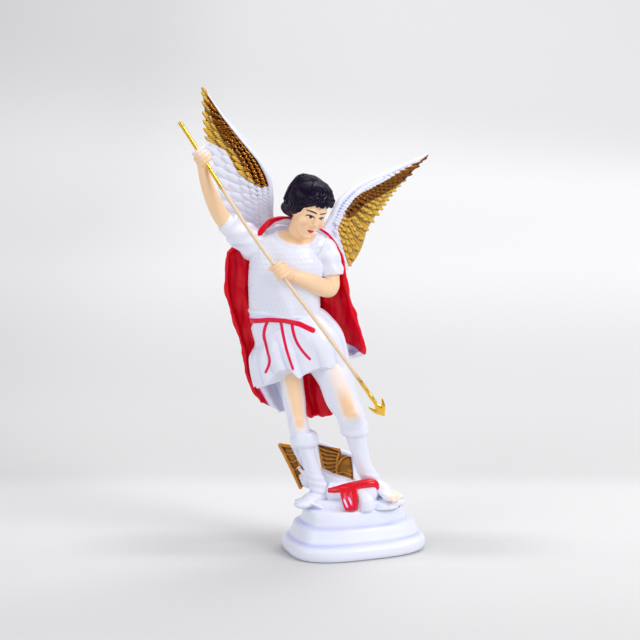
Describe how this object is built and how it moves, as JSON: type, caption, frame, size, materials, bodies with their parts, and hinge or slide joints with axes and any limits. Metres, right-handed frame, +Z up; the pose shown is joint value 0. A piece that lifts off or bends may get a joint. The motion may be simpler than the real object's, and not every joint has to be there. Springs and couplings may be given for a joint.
{
  "type": "guardian angel statue",
  "caption": "Painted plastic statue of a winged warrior angel in a red cape, spear in hand, standing on a fallen imp on a stepped white plinth",
  "frame": {"origin": "middle of the plinth's flat underside", "axes": "+Z up the statue, which is its longest way; X along the plinth's long side; the angel faces -Y, the spear arm is on the -X side"},
  "size_m": [0.1237, 0.059, 0.1985],
  "materials": {
    "white_plastic": "moulded PVC, soft gloss",
    "gold_paint": "sprayed gold lacquer",
    "red_paint": "gloss airbrushed paint",
    "flesh_paint": "soft airbrushed flesh tint",
    "hair_paint": "gloss dark paint"
  },
  "bodies": {
    "root": {"plinth": "white_plastic", "figure": "white_plastic", "wing_right": "gold_paint", "wing_left": "gold_paint", "spear": "gold_paint"}
  },
  "joints": []
}
